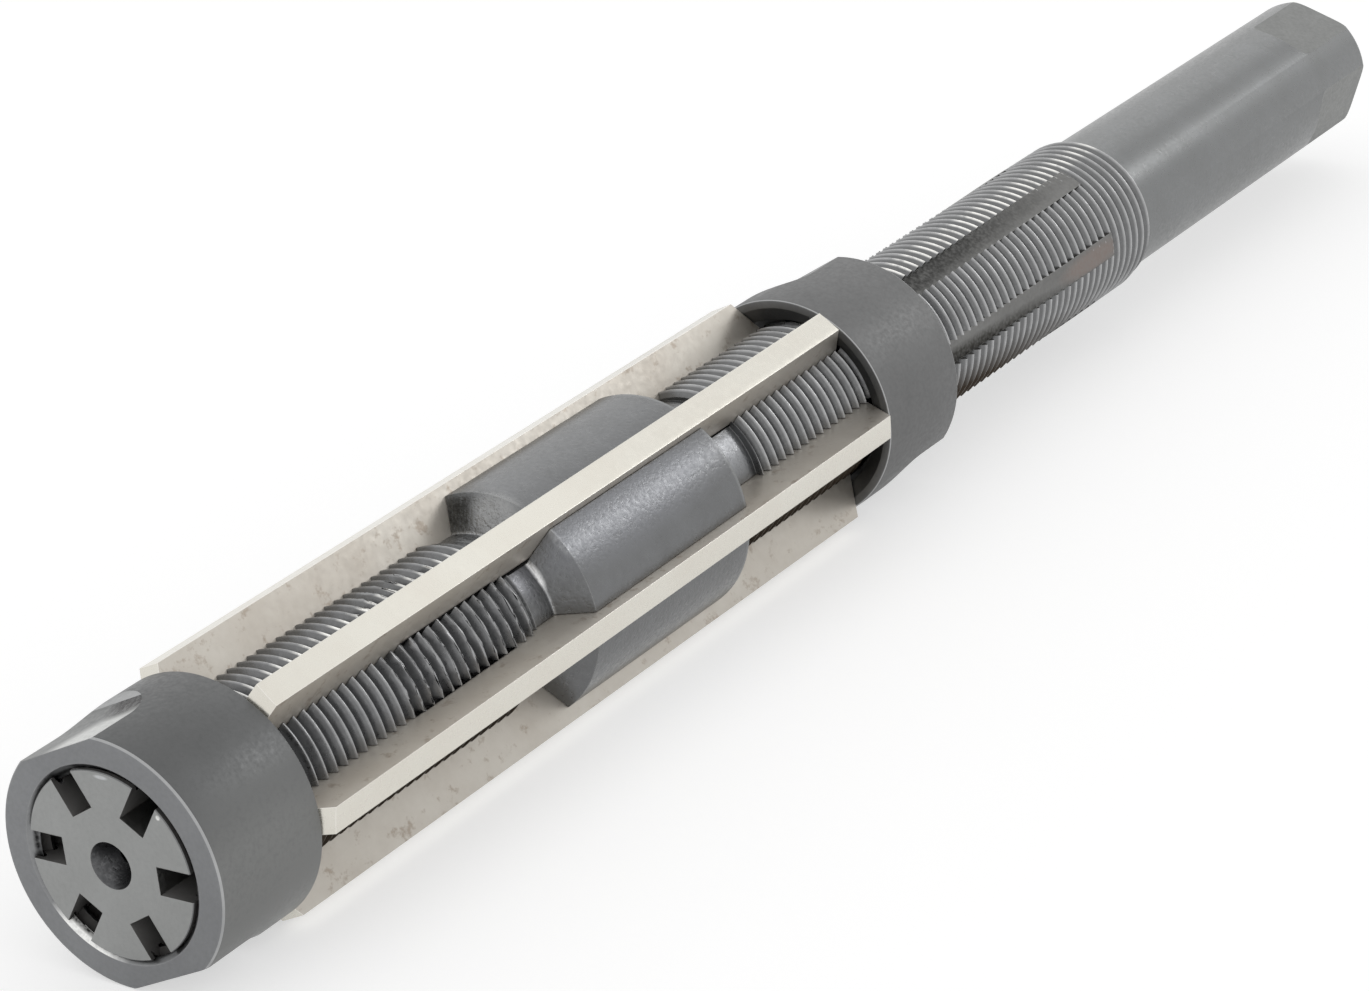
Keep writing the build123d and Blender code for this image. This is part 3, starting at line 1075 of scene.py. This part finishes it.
# %% [markdown]
# ## Floor, light and background
# A pale floor carries the tool, at the height of the nuts' lowest line. The world is white to the camera
# and in reflections, so the steel shows a white studio, and dimmer for soft light, so the floor keeps its
# shadow.

# %% Floor and world
FLOOR_SIZE = 4.0
FLOOR_PAINT = (0.60, 0.60, 0.60, 1.0)
FLOOR_GLOW = 0.54
SOFT_LEVEL = 0.75
SEEN_LEVEL = 1.0


def seen_directly(tree):
    """1 for rays from the camera, from a mirror or through glass, and 0 for soft light."""
    path = tree.nodes.new("ShaderNodeLightPath")
    socket = path.outputs["Is Camera Ray"]
    for other in ("Is Glossy Ray", "Is Transmission Ray"):
        either = tree.nodes.new("ShaderNodeMath")
        either.operation = "MAXIMUM"
        tree.links.new(socket, either.inputs[0])
        tree.links.new(path.outputs[other], either.inputs[1])
        socket = either.outputs["Value"]
    return socket


def make_floor():
    """A wide pale floor under the nuts."""
    clear_selection()
    bpy.ops.mesh.primitive_plane_add(size=FLOOR_SIZE, location=(0, 0, -NUT_RADIUS))
    floor = bpy.context.object
    floor.name = "floor"
    bpy.ops.object.transform_apply(location=True, rotation=True, scale=True)
    material = bpy.data.materials.new("pale_floor")
    material.use_nodes = True
    tree = material.node_tree
    tree.nodes.clear()
    output = add_node(material, "ShaderNodeOutputMaterial")
    matt_paint = add_node(material, "ShaderNodeBsdfDiffuse", {"Color": FLOOR_PAINT})
    glow = add_node(material, "ShaderNodeEmission")
    level = multiply(material, seen_directly(tree), FLOOR_GLOW)
    both = add_node(material, "ShaderNodeAddShader")
    link(material, level, glow.inputs["Strength"])
    link(material, matt_paint.outputs["BSDF"], both.inputs[0])
    link(material, glow.outputs["Emission"], both.inputs[1])
    link(material, both.outputs["Shader"], output.inputs["Surface"])
    floor.data.materials.append(material)


def make_world():
    """White for the camera, mirrors and glass, and a plain soft level for everything else."""
    world = bpy.data.worlds.new("studio")
    bpy.context.scene.world = world
    world.use_nodes = True
    tree = world.node_tree
    background = tree.nodes["Background"]
    background.inputs["Color"].default_value = (1.0, 1.0, 1.0, 1.0)
    level = tree.nodes.new("ShaderNodeMapRange")
    level.inputs["To Min"].default_value = SOFT_LEVEL
    level.inputs["To Max"].default_value = SEEN_LEVEL
    tree.links.new(seen_directly(tree), level.inputs["Value"])
    tree.links.new(level.outputs["Result"], background.inputs["Strength"])


make_floor()
make_world()
print("floor and world ready")

# %% [markdown]
# ### Lamps
# Metal is mostly what it mirrors, so each lamp is placed where one surface would mirror it to the camera.
# The key draws the narrow bright lines along the threads, the bulge and the shank. The strip is wide,
# because the flat lands of the blades need a whole field of light. The top lamp is weak, and lifts the
# land of the third blade.

# %% Lamps
LAMP_TARGET = Vector((90.0, 0.0, 0.0)) * MM
LAMP_DISTANCE = 1.5


def soft_lamp(name, direction, width, height, power):
    """A soft lamp in a direction from the target, facing it."""
    data = bpy.data.lights.new(name, "AREA")
    data.shape = "RECTANGLE"
    data.size = width
    data.size_y = height
    data.energy = power
    lamp = bpy.data.objects.new(name, data)
    bpy.context.scene.collection.objects.link(lamp)
    away = Vector(direction).normalized()
    lamp.location = LAMP_TARGET + away * LAMP_DISTANCE
    lamp.rotation_euler = away.to_track_quat("Z", "Y").to_euler()
    print(f"{name} lamp, {power} W, at", [round(place, 3) for place in lamp.location])


soft_lamp("key", (0.75, -0.47, 0.47), 0.315, 0.315, 1.2)
soft_lamp("strip", (0.73, 0.40, 0.52), 1.30, 0.60, 0.76)
soft_lamp("top", (0.665, -0.25, 0.70), 0.36, 0.26, 0.05)

bpy.context.scene.view_settings.view_transform = "Standard"
